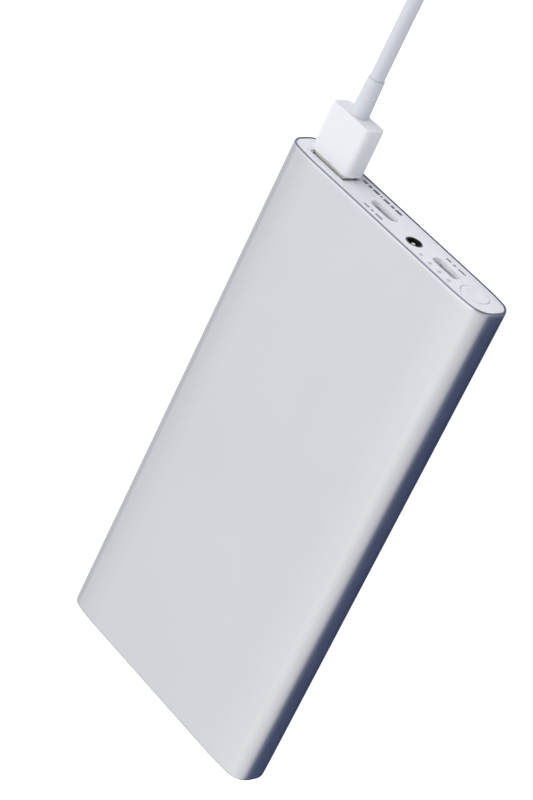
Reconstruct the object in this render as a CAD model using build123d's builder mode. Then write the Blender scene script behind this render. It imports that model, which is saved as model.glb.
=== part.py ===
from build123d import *
import os
from math import atan, cos, degrees, pi, radians, sin, tan

# Slim power bank, lying flat on its back, with a charging cable plugged in.
# X is the width, Y the length and +Z up. The ports face points to -Y. The origin is under the
# middle of the bank, on the surface it lies on. Sizes are in millimetres.
# "Depth" is measured inwards from the rim of the sleeve at the ports end, along +Y.

# ---- sleeve ----
WIDTH = 75.0
LENGTH = 146.0
THICKNESS = 13.4
WALL = 1.0
CROWN_INSET = 11.7        # the flat faces start to bow this far from the side
CROWN_RADIUS = 52.0
CORNER_RADIUS = 4.85
TIP_RADIUS = 34.0
RIM_LENGTH = 1.0          # of the elliptical rounding at both ends
RIM_INSET = 0.35
RIM_STEPS = 4
MOUTH_WALL = 0.5          # of the sleeve round each cap, which sits in a rebate
REBATE_DEPTH = 1.7
CHANNEL_X = 34.9          # screw channels inside the two sides
CHANNEL_RADIUS = 1.8
CHANNEL_HOLE_RADIUS = 0.8
CHANNEL_SETBACK = 4.9

# ---- end closures, the same at both ends ----
CAP_GAP = 0.12            # round the cap, inside the sleeve
CAP_RECESS = 0.2
CAP_INSET = MOUTH_WALL + CAP_GAP
CAP_THICKNESS = 1.5
CAP_CHAMFER = 0.15
ADHESIVE = 0.2
ADHESIVE_INSET = CAP_INSET + 0.9
ADHESIVE_MARGIN = 0.5     # round the openings
ADHESIVE_BREAK = 9.2      # width of the gap behind the button, which leaves two pieces of tape
PLATE_THICKNESS = 1.5
PLATE_GAP = 0.15
PLATE_MARGIN = 0.25       # round the openings
BOSS_RADIUS = 1.7         # of the two bosses that meet the screw channels
BOSS_GAP = 0.05
CAP_BACK = CAP_RECESS + CAP_THICKNESS
PLATE_FRONT = CAP_BACK + ADHESIVE
PLATE_BACK = PLATE_FRONT + PLATE_THICKNESS
SCREW_HEAD_RADIUS = 1.5
SCREW_HEAD_HEIGHT = 1.1
SCREW_SHANK_RADIUS = 0.75
SCREW_SEAT = 3.05         # depth of the face under the screw heads
SCREW_TIP = 9.5
RECESS_WIDTH = 0.45       # cross recess in the screw heads
RECESS_SPAN = 1.8
RECESS_DEPTH = 0.6
SCREW_CLEARANCE = 0.1

# ---- ports face, x and height above the middle plane ----
SHEET = 0.3               # sheet metal of every connector shell
MOUTH = 0.45              # depth of the mouth of the USB-A socket
USB_A_X = 25.0
USB_A_SHELL = (13.1, 5.72)
USB_A_INSIDE = (USB_A_SHELL[0] - 2 * SHEET, USB_A_SHELL[1] - 2 * SHEET)
USB_A_LENGTH = 14.0
USB_C_X = (5.3, -18.6)
USB_C_SHELL = (8.94, 3.16)
USB_C_LENGTH = 8.0
USB_C_MOUTH = 1.15        # deeper, so the openings show the cap's own white walls
USB_C_TONGUE = (6.69, 0.7)
USB_C_TONGUE_SETBACK = 1.0
BLOCK_LENGTH = 1.25       # of the moulded block that closes the back of a USB-C shell
USB_A_TONGUE = (10.9, 1.6)
USB_A_TONGUE_HEIGHT = 0.95
USB_A_TONGUE_FRONT = 3.4
USB_A_BLOCK_FRONT = 12.6  # depth where the socket's tongue roots in its rear block
CONTACT_THICKNESS = 0.1
USB_A_CONTACT_LENGTH = 8.0
FIT = 0.1                 # moulded blocks are this much smaller than the shells round them
PORT_MARGIN = 0.08        # round each socket, in the cap
PORT_EDGE = 0.12          # chamfer of the openings in the cap
PORT_EDGE_FROM = 5.0      # shortest rim that gets it, which leaves out the light pins
DC_X = -7.6
DC_HEIGHT = 1.35
DC_NOSE_RADIUS = 2.15
DC_BORE_RADIUS = 1.8
DC_BORE_END = 9.5
DC_PIN_RADIUS = 0.65
DC_PIN_TIP = 0.65
DC_PIN_EDGE = 0.35
DC_BODY_WIDTH = 6.6
DC_BODY_RISE = 2.6        # above the bore's axis
DC_BODY_BACK = 11.5
BUTTON_X = -29.2
BUTTON_RADIUS = 3.75
BUTTON_FACE = 0.15
BUTTON_BACK = 2.3
BUTTON_GAP = 0.15
BUTTON_TRAVEL = 0.4
BUTTON_EDGE = 0.12
BUTTON_SLACK = 0.05       # between the lip and the cap's back
STEM_SLACK = 0.02         # between the stem and the switch's plunger
BUTTON_FLANGE = (6.4, 9.0, 4.5)     # width, height and corner circle of the lip behind the cap
BUTTON_SLOT_PLAY = 0.4    # between the lip and the slot in the bracket, on both sides together
BUTTON_SLOT = (BUTTON_FLANGE[0] + BUTTON_SLOT_PLAY, BUTTON_FLANGE[1] + BUTTON_SLOT_PLAY)
BUTTON_STEM_RADIUS = 1.1
DISH_DEPTH = 0.3
DISH_RADIUS = 2.5         # of the round dish in the button's face
LED_X = [-12.8 - 3.5 * i for i in range(4)]
LED_HEIGHT = 3.85
LED_PIN_RADIUS = 0.5
GUIDE_BAR = (2.2, 1.6)    # the guide's bar is this much longer than its row of pins, and this deep
GUIDE_RISE = 0.6          # of the bar above the pins' axis
GUIDE_CLEARANCE = 0.1

# ---- circuit board ----
BOARD_HALF_WIDTH = 32.3
BOARD_FRONT = 3.5
BOARD_BACK = 25.5
BOARD_THICKNESS = 1.0
BOARD_TOP = -USB_C_SHELL[1] / 2     # the USB-C sockets stand on it, centred on the middle plane
BOARD_CORNER_X = 18.2               # the USB-A socket is sunk into this cut-away corner
BOARD_CORNER_DEPTH = 14.7
BOARD_SCREW_X = 28.75
BOARD_SCREW_DEPTH = 21.0
BOARD_SCREW_RADIUS = 0.7
BOARD_SCREW_PLAY = 0.02
BOARD_SCREW_HEAD = (1.8, 1.0)       # radius and height
BOARD_SCREW_REACH = 3.0
BOARD_HOLE_RADIUS = 1.1
SHELF_HOLE = 2.2
SHELF = (26.0, 31.5)                # x range of the bracket's two shelves under the board
SHELF_Z = (-5.0, -3.0)
SHELF_POST_DEPTH = 17.5
SHELF_END = 24.5
LED_DEPTH = 10.0
LED_SIZE = (1.6, 0.8, 0.6)
SWITCH_FRONT = 5.3
SWITCH_SIZE = (6.0, 3.5, 3.5)
PLUNGER_RADIUS = 1.0
PLUNGER_CLEARANCE = 0.05
PLUNGER_FRONT = 4.32
PLUNGER_BACK = 6.0
PART_EDGE = 0.4                     # rounding or chamfer on top of the tall parts
INDUCTOR_PLACE = (14.0, 19.8)       # places on the board are x and depth
INDUCTOR_WIDTH = 7.0
INDUCTOR_HEIGHT = 3.2
CAPACITOR_PLACES = ((21.4, 18.0), (21.4, 22.9))
CAPACITOR_RADIUS = 2.3
CAPACITOR_HEIGHT = 5.0
CONTROLLER_PLACE = (-0.5, 16.6)
CONTROLLER_WIDTH = 6.0
CHIP_PLACES = ((-15.0, 17.5), (-22.8, 17.5))
CHIP_SIZE = (5.0, 4.5)
CHIP_HEIGHT = 0.9
CERAMIC_ROWS = ((3.5, 11.0), (-18.5, 22.6))
CERAMIC_PITCH = 2.5
CERAMIC_SIZE = (1.6, 0.9)
CERAMIC_HEIGHT = 0.8
INSULATOR_FRONT = 5.0
INSULATOR_SIZE = (48.0, 20.0)
INSULATOR_THICKNESS = 0.2

# ---- cells ----
CELL = (62.0, 108.0, 5.1)
CELL_FRONT = 29.0
CELL_EDGE_RADIUS = 1.2
CELL_PAD_WIDTH = 50.0
CELL_PAD_MARGIN = 4.0     # between the ends of the tapes and pads and the ends of the cells
END_FOAM = (54.0, 9.0)    # width and height
BASE_TAPE = 0.3
MIDDLE_TAPE = 0.3
PROTECTION_FRONT = 26.4
PROTECTION_SIZE = (32.0, 0.8, 8.4)
TAB_X = 10.0
TAB_WIDTH = 4.0
TAB_THICKNESS = 0.15
LEAD_X = 6.0
LEAD_RADIUS = 0.6
LEAD_HEIGHT = 2.5
LEAD_DEPTH = 22.5

# ---- plug and cable ----
PLUG_GAP = 0.95           # from the cap's face to the plug's housing
PLUG_SIZE = (14.5, 6.3)
PLUG_LENGTH = 13.5
PLUG_CORNER = 1.5
PLUG_SHELL = (12.0, 4.5)
PLUG_REACH = 12.0         # of the metal shell beyond the housing
PLUG_SOCKET = 6.0         # of the metal shell inside the housing
PLUG_SHELL_CORNER = 0.5
PLUG_INSIDE = (PLUG_SHELL[0] - 2 * SHEET, PLUG_SHELL[1] - 2 * SHEET)
WINDOW_SIZE = (2.4, 2.2)  # of the latching windows in the metal shell
WINDOW_X = 2.5
WINDOW_DEPTH = 6.4
INSERT_HEIGHT = 1.9
PLUG_GROOVE = 0.15        # depth of the grooves that hold the contacts
PLUG_CONTACT = 0.13
PLUG_CONTACT_SETBACK = 0.6
PLUG_INSERT_SHORTER = 1.0   # than the metal shell round it
PLUG_CONTACT_LENGTH = 14.0
PLUG_FRONT_EDGE = 0.25    # rounding of the housing towards the bank
PLUG_BACK_EDGE = 0.3      # and towards the cable
CONTACT_X = (-3.5, -1.0, 1.0, 3.5)
CONTACT_WIDTH = 1.0
RELIEF_LENGTH = 10.4
RELIEF_RADII = (2.45, 2.2)
RELIEF_EDGE = 0.2
BEND_SHARE = 0.45         # of the straight run that the bend of a wire or cable may take up
CABLE_RADIUS = 1.925
COIL_CENTRE = (-1.5, -178.0)
COIL_OUTER_LANE = 28.5    # centreline radius of the outermost turn
COIL_TURNS = 3            # in each of the two layers
COIL_PITCH = 3.9          # between turns side by side
COIL_EDGE = 1.5
TIE_THICKNESS = 0.4
TIE_GAP = 0.05
TIE_ARC = 13.0            # degrees of the coil that the tie covers
TIE_ANGLE = 128.0
FAR_SIZE = (12.0, 6.4)
FAR_LENGTH = 15.5
FAR_TIP = (8.25, 2.4)
FAR_INSIDE = (FAR_TIP[0] - 2 * SHEET, FAR_TIP[1] - 2 * SHEET)
FAR_TIP_LENGTH = 6.65
FAR_RELIEF = 8.5
FAR_CORNER = 2.4
FAR_FLOOR = 1.2           # of the slot in the tip, above the housing
FAR_SLOT = (6.7, 0.8)

MIDDLE = Plane(origin=(0, 0, THICKNESS / 2), x_dir=(1, 0, 0), z_dir=(0, -1, 0))


def depth_plane(depth):
    """Plane facing out of the ports end: local x is X, local y is height above the middle."""
    return MIDDLE.offset(LENGTH / 2 - depth)


def level_plane(height):
    """Horizontal plane at a height above the middle; local y is measured from the ports rim."""
    return Plane(origin=(0, -LENGTH / 2, THICKNESS / 2 + height))


def arc_about(centre, radius, start, end):
    """Arc from start to end on the circle of that centre and radius."""
    middle = centre + ((start + end) * 0.5 - centre).normalized() * radius
    return ThreePointArc(start, middle, end)


def corner_centre(crown_centre, tip_centre):
    """Centre of the corner arc, which touches the crown arc and the tip arc from inside."""
    to_crown = CROWN_RADIUS - CORNER_RADIUS
    to_tip = TIP_RADIUS - CORNER_RADIUS
    across = tip_centre - crown_centre
    along = (to_crown**2 - to_tip**2 + across.length**2) / (2 * across.length)
    aside = (to_crown**2 - along**2) ** 0.5
    unit = across.normalized()
    return crown_centre + unit * along + Vector(unit.Y, -unit.X) * aside


def section(inset=0.0):
    """The sleeve's cross-section as a face, moved inwards by inset."""
    crown_centre = Vector(WIDTH / 2 - CROWN_INSET, THICKNESS / 2 - CROWN_RADIUS)
    tip_centre = Vector(WIDTH / 2 - TIP_RADIUS, 0)
    corner = corner_centre(crown_centre, tip_centre)
    top = Vector(crown_centre.X, THICKNESS / 2 - inset)
    crown_end = crown_centre + (corner - crown_centre).normalized() * (CROWN_RADIUS - inset)
    tip_start = tip_centre + (corner - tip_centre).normalized() * (TIP_RADIUS - inset)
    with BuildSketch() as outline:
        with BuildLine():
            arc_about(crown_centre, CROWN_RADIUS - inset, top, crown_end)
            arc_about(corner, CORNER_RADIUS - inset, crown_end, tip_start)
            mirror(about=Plane.XZ)
            mirror(about=Plane.YZ)
            for sign in (1, -1):
                Line((-top.X, sign * top.Y), (top.X, sign * top.Y))
                ThreePointArc(
                    (sign * tip_start.X, tip_start.Y),
                    (sign * (WIDTH / 2 - inset), 0),
                    (sign * tip_start.X, -tip_start.Y),
                )
        make_face()
    return outline.sketch


def bevel(start, end, mode=Mode.ADD):
    """Lofted band of the open part between two sections, each given as (inset, depth)."""
    rings = [section(inset).moved(depth_plane(depth).location) for inset, depth in (start, end)]
    loft(rings, ruled=True, mode=mode)


def port_outlines(margin, mode=Mode.SUBTRACT):
    """Outlines of the sockets, each enlarged by margin, for the open sketch."""
    with Locations((USB_A_X, 0)):
        Rectangle(USB_A_SHELL[0] + 2 * margin, USB_A_SHELL[1] + 2 * margin, mode=mode)
    with Locations(*[(x, 0) for x in USB_C_X]):
        SlotOverall(USB_C_SHELL[0] + 2 * margin, USB_C_SHELL[1] + 2 * margin, mode=mode)
    with Locations((DC_X, DC_HEIGHT)):
        Circle(DC_NOSE_RADIUS + margin, mode=mode)


def led_outlines(margin, mode=Mode.SUBTRACT):
    """Outlines of the four light guide pins, each enlarged by margin, for the open sketch."""
    with Locations(*[(x, LED_HEIGHT) for x in LED_X]):
        Circle(LED_PIN_RADIUS + margin, mode=mode)


# ---- sleeve: one extrusion with a screw channel in each side ----
RIM_ANGLES = [pi / 2 * step / RIM_STEPS for step in range(RIM_STEPS + 1)]
RIM_PROFILE = [(RIM_INSET * (1 - cos(angle)), RIM_LENGTH * (1 - sin(angle))) for angle in RIM_ANGLES]

with BuildPart() as aluminium_sleeve:
    with BuildSketch(depth_plane(LENGTH - RIM_LENGTH)):
        add(section())
    extrude(amount=LENGTH - 2 * RIM_LENGTH)
    for outer, inner in zip(RIM_PROFILE, RIM_PROFILE[1:]):
        bevel(outer, inner)
        bevel((outer[0], LENGTH - outer[1]), (inner[0], LENGTH - inner[1]))
    with BuildSketch(depth_plane(LENGTH)):
        add(section(WALL))
    extrude(amount=LENGTH, mode=Mode.SUBTRACT)
    for face_depth in (REBATE_DEPTH, LENGTH):
        with BuildSketch(depth_plane(face_depth)):
            add(section(MOUTH_WALL))
        extrude(amount=REBATE_DEPTH, mode=Mode.SUBTRACT)
    with BuildSketch(depth_plane(LENGTH - CHANNEL_SETBACK)):
        with Locations((CHANNEL_X, 0), (-CHANNEL_X, 0)):
            Circle(CHANNEL_RADIUS)
            Circle(CHANNEL_HOLE_RADIUS, mode=Mode.SUBTRACT)
        add(section(WALL / 2), mode=Mode.INTERSECT)
    extrude(amount=LENGTH - 2 * CHANNEL_SETBACK)

# ---- ports end: cap, adhesive, bracket, screws ----
with BuildPart() as top_end_cap:
    with BuildSketch(depth_plane(CAP_BACK)):
        add(section(CAP_INSET))
    extrude(amount=CAP_THICKNESS - CAP_CHAMFER)
    bevel((CAP_INSET, CAP_RECESS + CAP_CHAMFER), (CAP_INSET + CAP_CHAMFER, CAP_RECESS))
    with BuildSketch(depth_plane(CAP_BACK)):
        port_outlines(PORT_MARGIN, mode=Mode.ADD)
        led_outlines(PORT_MARGIN / 2, mode=Mode.ADD)
        with Locations((BUTTON_X, 0)):
            Circle(BUTTON_RADIUS + BUTTON_GAP)
    extrude(amount=CAP_THICKNESS, mode=Mode.SUBTRACT)
    openings = top_end_cap.faces().sort_by(Axis.Y)[0].inner_wires()
    wide_openings = [wire for wire in openings if wire.length > PORT_EDGE_FROM]
    chamfer([edge for wire in wide_openings for edge in wire.edges()], PORT_EDGE)

with BuildPart() as top_cap_adhesive:
    with BuildSketch(depth_plane(PLATE_FRONT)):
        add(section(ADHESIVE_INSET))
        port_outlines(ADHESIVE_MARGIN)
        led_outlines(ADHESIVE_MARGIN)
        with Locations((BUTTON_X, 0)):
            Rectangle(ADHESIVE_BREAK, THICKNESS, mode=Mode.SUBTRACT)
    extrude(amount=ADHESIVE)

with BuildPart() as top_bracket:
    with BuildSketch(depth_plane(PLATE_BACK)):
        add(section(WALL + PLATE_GAP))
        port_outlines(PLATE_MARGIN)
        led_outlines(PLATE_MARGIN)
        with Locations((BUTTON_X, 0)):
            Circle(BUTTON_RADIUS + PLATE_MARGIN, mode=Mode.SUBTRACT)
            Rectangle(*BUTTON_SLOT, mode=Mode.SUBTRACT)
    extrude(amount=PLATE_THICKNESS)
    with BuildSketch(depth_plane(CHANNEL_SETBACK - BOSS_GAP)):
        with Locations((CHANNEL_X, 0), (-CHANNEL_X, 0)):
            Circle(BOSS_RADIUS)
        add(section(WALL + PLATE_GAP), mode=Mode.INTERSECT)
    extrude(amount=CHANNEL_SETBACK - BOSS_GAP - PLATE_BACK)
    with BuildSketch(level_plane(SHELF_Z[0])):
        with Locations(*[(side * sum(SHELF) / 2, PLATE_BACK) for side in (1, -1)]):
            Rectangle(SHELF[1] - SHELF[0], SHELF_END - PLATE_BACK, align=(Align.CENTER, Align.MIN))
    extrude(amount=SHELF_Z[1] - SHELF_Z[0])
    with BuildSketch(level_plane(SHELF_Z[1])):
        with Locations(*[(side * sum(SHELF) / 2, SHELF_POST_DEPTH) for side in (1, -1)]):
            Rectangle(SHELF[1] - SHELF[0], SHELF_END - SHELF_POST_DEPTH, align=(Align.CENTER, Align.MIN))
    extrude(amount=BOARD_TOP - BOARD_THICKNESS - SHELF_Z[1])
    with BuildSketch(level_plane(BOARD_TOP - BOARD_THICKNESS)):
        with Locations((BOARD_SCREW_X, BOARD_SCREW_DEPTH), (-BOARD_SCREW_X, BOARD_SCREW_DEPTH)):
            Circle(BOARD_SCREW_RADIUS + BOARD_SCREW_PLAY)
    extrude(amount=-SHELF_HOLE, mode=Mode.SUBTRACT)
    with BuildSketch(depth_plane(0)):
        with Locations((CHANNEL_X, 0), (-CHANNEL_X, 0)):
            Circle(SCREW_SHANK_RADIUS + SCREW_CLEARANCE)
    extrude(amount=-CHANNEL_SETBACK, mode=Mode.SUBTRACT)
    with BuildSketch(depth_plane(0)):
        with Locations((CHANNEL_X, 0), (-CHANNEL_X, 0)):
            Circle(SCREW_HEAD_RADIUS + SCREW_CLEARANCE)
    extrude(amount=-SCREW_SEAT, mode=Mode.SUBTRACT)

# ---- far end: plain cap, adhesive, bracket ----
with BuildPart() as bottom_end_cap:
    with BuildSketch(depth_plane(LENGTH - CAP_RECESS - CAP_CHAMFER)):
        add(section(CAP_INSET))
    extrude(amount=CAP_THICKNESS - CAP_CHAMFER)
    bevel((CAP_INSET, LENGTH - CAP_RECESS - CAP_CHAMFER), (CAP_INSET + CAP_CHAMFER, LENGTH - CAP_RECESS))

with BuildPart() as bottom_cap_adhesive:
    with BuildSketch(depth_plane(LENGTH - CAP_BACK)):
        add(section(ADHESIVE_INSET))
    extrude(amount=ADHESIVE)

with BuildPart() as bottom_bracket:
    with BuildSketch(depth_plane(LENGTH - PLATE_FRONT)):
        add(section(WALL + PLATE_GAP))
    extrude(amount=PLATE_THICKNESS)
    with BuildSketch(depth_plane(LENGTH - PLATE_BACK)):
        with Locations((CHANNEL_X, 0), (-CHANNEL_X, 0)):
            Circle(BOSS_RADIUS)
        add(section(WALL + PLATE_GAP), mode=Mode.INTERSECT)
    extrude(amount=CHANNEL_SETBACK - BOSS_GAP - PLATE_BACK)
    with BuildSketch(depth_plane(LENGTH)):
        with Locations((CHANNEL_X, 0), (-CHANNEL_X, 0)):
            Circle(SCREW_SHANK_RADIUS + SCREW_CLEARANCE)
    extrude(amount=CHANNEL_SETBACK, mode=Mode.SUBTRACT)
    with BuildSketch(depth_plane(LENGTH)):
        with Locations((CHANNEL_X, 0), (-CHANNEL_X, 0)):
            Circle(SCREW_HEAD_RADIUS + SCREW_CLEARANCE)
    extrude(amount=SCREW_SEAT, mode=Mode.SUBTRACT)


def end_screws(at_ports_end):
    """The two cross-recessed screws of one end, driven inwards along the screw channels."""
    inwards = -1 if at_ports_end else 1
    seat = SCREW_SEAT if at_ports_end else LENGTH - SCREW_SEAT
    with BuildPart() as screws:
        with BuildSketch(depth_plane(seat)):
            with Locations((CHANNEL_X, 0), (-CHANNEL_X, 0)):
                Circle(SCREW_HEAD_RADIUS)
        extrude(amount=-inwards * SCREW_HEAD_HEIGHT)
        with BuildSketch(depth_plane(seat)):
            with Locations((CHANNEL_X, 0), (-CHANNEL_X, 0)):
                Circle(SCREW_SHANK_RADIUS)
        extrude(amount=inwards * (SCREW_TIP - SCREW_SEAT))
        with BuildSketch(depth_plane(seat + inwards * SCREW_HEAD_HEIGHT)):
            with Locations((CHANNEL_X, 0), (-CHANNEL_X, 0)):
                Rectangle(RECESS_SPAN, RECESS_WIDTH)
                Rectangle(RECESS_WIDTH, RECESS_SPAN)
        extrude(amount=inwards * RECESS_DEPTH, mode=Mode.SUBTRACT)
    return screws


top_screws = end_screws(at_ports_end=True)
bottom_screws = end_screws(at_ports_end=False)

# ---- power button, its switch and the charge lights ----
with BuildPart() as power_button:
    with BuildSketch(depth_plane(BUTTON_BACK)):
        with Locations((BUTTON_X, 0)):
            Circle(BUTTON_RADIUS)
    extrude(amount=BUTTON_BACK - BUTTON_FACE)
    with BuildSketch(depth_plane(BUTTON_BACK)):
        with Locations((BUTTON_X, 0)):
            Rectangle(BUTTON_FLANGE[0], BUTTON_FLANGE[1])
            Circle(BUTTON_FLANGE[2], mode=Mode.INTERSECT)
    extrude(amount=BUTTON_BACK - CAP_BACK - BUTTON_SLACK)
    with BuildSketch(depth_plane(BUTTON_BACK)):
        with Locations((BUTTON_X, 0)):
            Circle(BUTTON_STEM_RADIUS)
    extrude(amount=-(PLUNGER_FRONT - STEM_SLACK - BUTTON_BACK))
    chamfer(power_button.faces().sort_by(Axis.Y)[0].edges(), BUTTON_EDGE)
    dish_sphere = (DISH_RADIUS**2 + DISH_DEPTH**2) / (2 * DISH_DEPTH)
    with Locations((BUTTON_X, -LENGTH / 2 + BUTTON_FACE + DISH_DEPTH - dish_sphere, THICKNESS / 2)):
        Sphere(dish_sphere, mode=Mode.SUBTRACT)

with BuildPart() as tact_switch_body:
    with BuildSketch(level_plane(BOARD_TOP)):
        with Locations((BUTTON_X, SWITCH_FRONT)):
            Rectangle(SWITCH_SIZE[0], SWITCH_SIZE[1], align=(Align.CENTER, Align.MIN))
    extrude(amount=SWITCH_SIZE[2])
    with BuildSketch(depth_plane(SWITCH_FRONT)):
        with Locations((BUTTON_X, 0)):
            Circle(PLUNGER_RADIUS + PLUNGER_CLEARANCE)
    extrude(amount=-(PLUNGER_BACK + BUTTON_TRAVEL + FIT - SWITCH_FRONT), mode=Mode.SUBTRACT)

with BuildPart() as tact_switch_plunger:
    with BuildSketch(depth_plane(PLUNGER_BACK)):
        with Locations((BUTTON_X, 0)):
            Circle(PLUNGER_RADIUS)
    extrude(amount=PLUNGER_BACK - PLUNGER_FRONT)

with BuildPart() as led_chips:
    with BuildSketch(level_plane(BOARD_TOP)):
        with Locations(*[(x, LED_DEPTH) for x in LED_X]):
            Rectangle(LED_SIZE[0], LED_SIZE[1])
    extrude(amount=LED_SIZE[2])

with BuildPart() as led_light_guide:
    with BuildSketch(level_plane(BOARD_TOP + LED_SIZE[2] + GUIDE_CLEARANCE)):
        with Locations(((LED_X[0] + LED_X[-1]) / 2, LED_DEPTH)):
            Rectangle(LED_X[0] - LED_X[-1] + GUIDE_BAR[0], GUIDE_BAR[1])
    extrude(amount=LED_HEIGHT + GUIDE_RISE - (BOARD_TOP + LED_SIZE[2] + GUIDE_CLEARANCE))
    with BuildSketch(depth_plane(LED_DEPTH)):
        with Locations(*[(x, LED_HEIGHT) for x in LED_X]):
            Circle(LED_PIN_RADIUS)
    extrude(amount=LED_DEPTH - CAP_RECESS)


# ---- sockets ----
with BuildPart() as usb_a_socket_shell:
    with BuildSketch(depth_plane(MOUTH + USB_A_LENGTH)):
        with Locations((USB_A_X, 0)):
            RectangleRounded(*USB_A_SHELL, radius=2 * SHEET)
            RectangleRounded(*USB_A_INSIDE, radius=SHEET, mode=Mode.SUBTRACT)
    extrude(amount=USB_A_LENGTH)

with BuildPart() as usb_a_socket_tongue:
    with BuildSketch(depth_plane(MOUTH + USB_A_LENGTH - FIT)):
        with Locations((USB_A_X, 0)):
            RectangleRounded(USB_A_INSIDE[0] - FIT, USB_A_INSIDE[1] - FIT, radius=SHEET + FIT)
    extrude(amount=MOUTH + USB_A_LENGTH - FIT - USB_A_BLOCK_FRONT)
    with BuildSketch(depth_plane(USB_A_BLOCK_FRONT)):
        with Locations((USB_A_X, USB_A_TONGUE_HEIGHT)):
            Rectangle(*USB_A_TONGUE)
    extrude(amount=USB_A_BLOCK_FRONT - USB_A_TONGUE_FRONT)

with BuildPart() as usb_a_socket_contacts:
    with BuildSketch(depth_plane(USB_A_BLOCK_FRONT)):
        under_tongue = USB_A_TONGUE_HEIGHT - (USB_A_TONGUE[1] + CONTACT_THICKNESS) / 2
        with Locations(*[(USB_A_X + x, under_tongue) for x in CONTACT_X]):
            Rectangle(CONTACT_WIDTH, CONTACT_THICKNESS)
    extrude(amount=USB_A_CONTACT_LENGTH)


def usb_c_shell(x):
    """Stadium-shaped metal shell of one USB-C socket."""
    with BuildPart() as shell:
        with BuildSketch(depth_plane(USB_C_MOUTH + USB_C_LENGTH)):
            with Locations((x, 0)):
                SlotOverall(*USB_C_SHELL)
                SlotOverall(USB_C_SHELL[0] - 2 * SHEET, USB_C_SHELL[1] - 2 * SHEET, mode=Mode.SUBTRACT)
        extrude(amount=USB_C_LENGTH)
    return shell


def usb_c_tongue(x):
    """Insulator of one USB-C socket: a block that closes the shell, and the thin tongue."""
    block_back = USB_C_MOUTH + USB_C_LENGTH - FIT
    with BuildPart() as tongue:
        with BuildSketch(depth_plane(block_back)):
            with Locations((x, 0)):
                SlotOverall(USB_C_SHELL[0] - 2 * SHEET - FIT, USB_C_SHELL[1] - 2 * SHEET - FIT)
        extrude(amount=BLOCK_LENGTH)
        with BuildSketch(depth_plane(block_back - BLOCK_LENGTH)):
            with Locations((x, 0)):
                Rectangle(*USB_C_TONGUE)
        extrude(amount=block_back - BLOCK_LENGTH - USB_C_MOUTH - USB_C_TONGUE_SETBACK)
    return tongue


with BuildPart() as dc_jack_body:
    dc_body_front = PLATE_BACK + FIT
    with BuildSketch(depth_plane(DC_BODY_BACK)):
        with Locations((DC_X, (BOARD_TOP + DC_HEIGHT + DC_BODY_RISE) / 2)):
            Rectangle(DC_BODY_WIDTH, DC_HEIGHT + DC_BODY_RISE - BOARD_TOP)
    extrude(amount=DC_BODY_BACK - dc_body_front)
    with BuildSketch(depth_plane(dc_body_front)):
        with Locations((DC_X, DC_HEIGHT)):
            Circle(DC_NOSE_RADIUS)
    extrude(amount=dc_body_front - CAP_RECESS)
    with BuildSketch(depth_plane(0)):
        with Locations((DC_X, DC_HEIGHT)):
            Circle(DC_BORE_RADIUS)
    extrude(amount=-DC_BORE_END, mode=Mode.SUBTRACT)

with BuildPart() as dc_jack_pin:
    with BuildSketch(depth_plane(DC_BORE_END)):
        with Locations((DC_X, DC_HEIGHT)):
            Circle(DC_PIN_RADIUS)
    extrude(amount=DC_BORE_END - DC_PIN_TIP)
    fillet(dc_jack_pin.faces().sort_by(Axis.Y)[0].edges(), DC_PIN_EDGE)

# ---- circuit board and what stands on it ----
with BuildPart() as main_board:
    with BuildSketch(level_plane(BOARD_TOP - BOARD_THICKNESS)):
        with Locations((0, BOARD_FRONT)):
            Rectangle(2 * BOARD_HALF_WIDTH, BOARD_BACK - BOARD_FRONT, align=(Align.CENTER, Align.MIN))
        with Locations((BOARD_CORNER_X, 0)):
            Rectangle(BOARD_HALF_WIDTH, BOARD_CORNER_DEPTH, align=(Align.MIN, Align.MIN), mode=Mode.SUBTRACT)
        with Locations((BOARD_SCREW_X, BOARD_SCREW_DEPTH), (-BOARD_SCREW_X, BOARD_SCREW_DEPTH)):
            Circle(BOARD_HOLE_RADIUS, mode=Mode.SUBTRACT)
    extrude(amount=BOARD_THICKNESS)

with BuildPart() as board_screws:
    with BuildSketch(level_plane(BOARD_TOP)):
        with Locations((BOARD_SCREW_X, BOARD_SCREW_DEPTH), (-BOARD_SCREW_X, BOARD_SCREW_DEPTH)):
            Circle(BOARD_SCREW_HEAD[0])
    extrude(amount=BOARD_SCREW_HEAD[1])
    with BuildSketch(level_plane(BOARD_TOP)):
        with Locations((BOARD_SCREW_X, BOARD_SCREW_DEPTH), (-BOARD_SCREW_X, BOARD_SCREW_DEPTH)):
            Circle(BOARD_SCREW_RADIUS)
    extrude(amount=-BOARD_SCREW_REACH)

with BuildPart() as power_inductor:
    with BuildSketch(level_plane(BOARD_TOP)):
        with Locations(INDUCTOR_PLACE):
            RectangleRounded(INDUCTOR_WIDTH, INDUCTOR_WIDTH, radius=2 * PART_EDGE)
    extrude(amount=INDUCTOR_HEIGHT)
    chamfer(power_inductor.faces().sort_by(Axis.Z)[-1].edges(), PART_EDGE)

with BuildPart() as bulk_capacitors:
    with BuildSketch(level_plane(BOARD_TOP)):
        with Locations(*CAPACITOR_PLACES):
            Circle(CAPACITOR_RADIUS)
    extrude(amount=CAPACITOR_HEIGHT)
    fillet(bulk_capacitors.faces().group_by(Axis.Z)[-1].edges(), PART_EDGE)

with BuildPart() as controller_chips:
    with BuildSketch(level_plane(BOARD_TOP)):
        with Locations(CONTROLLER_PLACE):
            Rectangle(CONTROLLER_WIDTH, CONTROLLER_WIDTH)
        with Locations(*CHIP_PLACES):
            Rectangle(*CHIP_SIZE)
    extrude(amount=CHIP_HEIGHT)

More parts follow.
